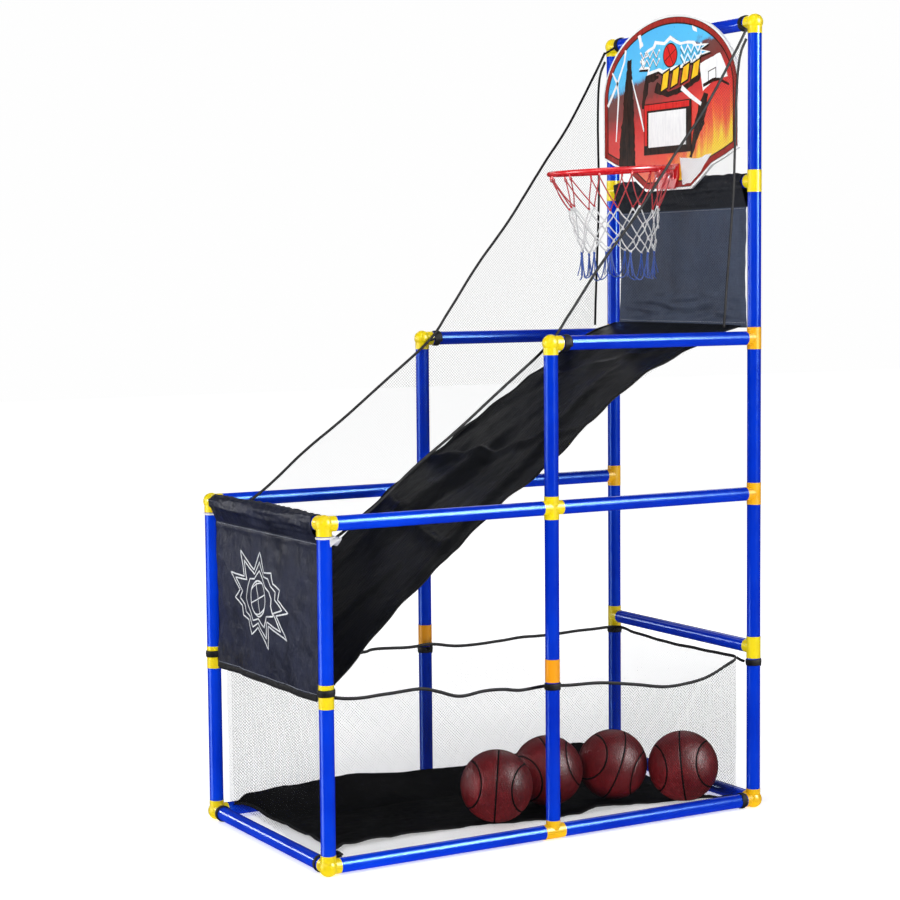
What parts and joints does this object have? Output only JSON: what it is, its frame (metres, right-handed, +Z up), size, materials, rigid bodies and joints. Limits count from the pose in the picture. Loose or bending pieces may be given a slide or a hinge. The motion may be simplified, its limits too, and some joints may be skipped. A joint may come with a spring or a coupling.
{
  "type": "basketball arcade frame",
  "caption": "Push-fit tube frame with a hanging backboard, a hoop with a knotted net, a sloping fabric ball return between mesh side nets and a mesh ball store at the base.",
  "frame": {"origin": "on the floor, at the middle of the frame's footprint", "axes": "+Z up; the player stands on the -Y side and throws towards +Y; +X is the player's right"},
  "size_m": [0.482, 0.912, 1.47],
  "materials": {
    "blue_tube": "smooth gloss",
    "yellow_connector": "satin gloss, moulded",
    "board_print": "printed board, satin",
    "red_plastic": "moulded, gloss",
    "red_rim": "powder coat",
    "zinc_fastener": "zinc plated",
    "hoop_cord": "knotted cord, red, white and blue",
    "black_fabric": "woven polyester",
    "grey_mesh": "fine open mesh of dark grey thread",
    "black_webbing": "woven tape and elastic cord",
    "floor_fabric": "coated woven polyester",
    "ball_skin": "pebbled, semi-matte"
  },
  "bodies": {
    "frame": {"front_left_post": "blue_tube", "front_right_post": "blue_tube", "middle_left_post": "blue_tube", "middle_right_post": "blue_tube", "rear_left_post": "blue_tube", "rear_right_post": "blue_tube", "left_base_rails": "blue_tube", "right_base_rails": "blue_tube", "left_side_rails": "blue_tube", "right_side_rails": "blue_tube", "left_upper_rail": "blue_tube", "right_upper_rail": "blue_tube", "front_base_crossbar": "blue_tube", "front_top_crossbar": "blue_tube", "rear_base_crossbar": "blue_tube", "rear_low_crossbar": "blue_tube", "rear_panel_crossbar": "blue_tube", "rear_top_crossbar": "blue_tube", "front_base_corners": "yellow_connector", "rear_base_corners": "yellow_connector", "middle_base_tees": "yellow_connector", "front_top_corners": "yellow_connector", "post_couplings": "yellow_connector", "middle_crosses": "yellow_connector", "middle_top_elbows": "yellow_connector", "rear_rail_tees": "yellow_connector", "rear_crossbar_tees": "yellow_connector", "rear_top_elbows": "yellow_connector", "front_panel": "black_fabric", "front_sleeve": "black_fabric", "ramp": "black_fabric", "back_panel": "black_fabric", "back_sleeve": "black_fabric", "left_side_net": "grey_mesh", "right_side_net": "grey_mesh", "left_net_binding": "black_webbing", "right_net_binding": "black_webbing", "upper_ties": "black_webbing", "storage_floor": "floor_fabric", "storage_front_net": "grey_mesh", "storage_rear_net": "grey_mesh", "storage_left_net": "grey_mesh", "storage_right_net": "grey_mesh", "storage_net_cord": "black_webbing", "storage_ties": "black_webbing", "floor_ties": "black_webbing"},
    "board": {"backboard": "board_print", "left_board_hook": "red_plastic", "right_board_hook": "red_plastic", "hook_screws": "zinc_fastener", "rim": "red_rim", "rim_bracket": "red_plastic", "rim_bolts": "zinc_fastener", "hoop_net": "hoop_cord"},
    "ball_1": {"ball_1": "ball_skin"},
    "ball_2": {"ball_2": "ball_skin"},
    "ball_3": {"ball_3": "ball_skin"},
    "ball_4": {"ball_4": "ball_skin"}
  },
  "joints": [
    {"name": "backboard_swing", "type": "hinge", "parent": "frame", "child": "board", "pos_m": [0, 0.44, 1.435], "axis": [-1, 0, 0], "range_deg": [0, 35]},
    {"name": "ball_1_lift", "type": "slide", "parent": "frame", "child": "ball_1", "axis": [0, 0, 1], "range_m": [0, 0.3]},
    {"name": "ball_2_lift", "type": "slide", "parent": "frame", "child": "ball_2", "axis": [0, 0, 1], "range_m": [0, 0.3]},
    {"name": "ball_3_lift", "type": "slide", "parent": "frame", "child": "ball_3", "axis": [0, 0, 1], "range_m": [0, 0.3]},
    {"name": "ball_4_lift", "type": "slide", "parent": "frame", "child": "ball_4", "axis": [0, 0, 1], "range_m": [0, 0.3]}
  ]
}
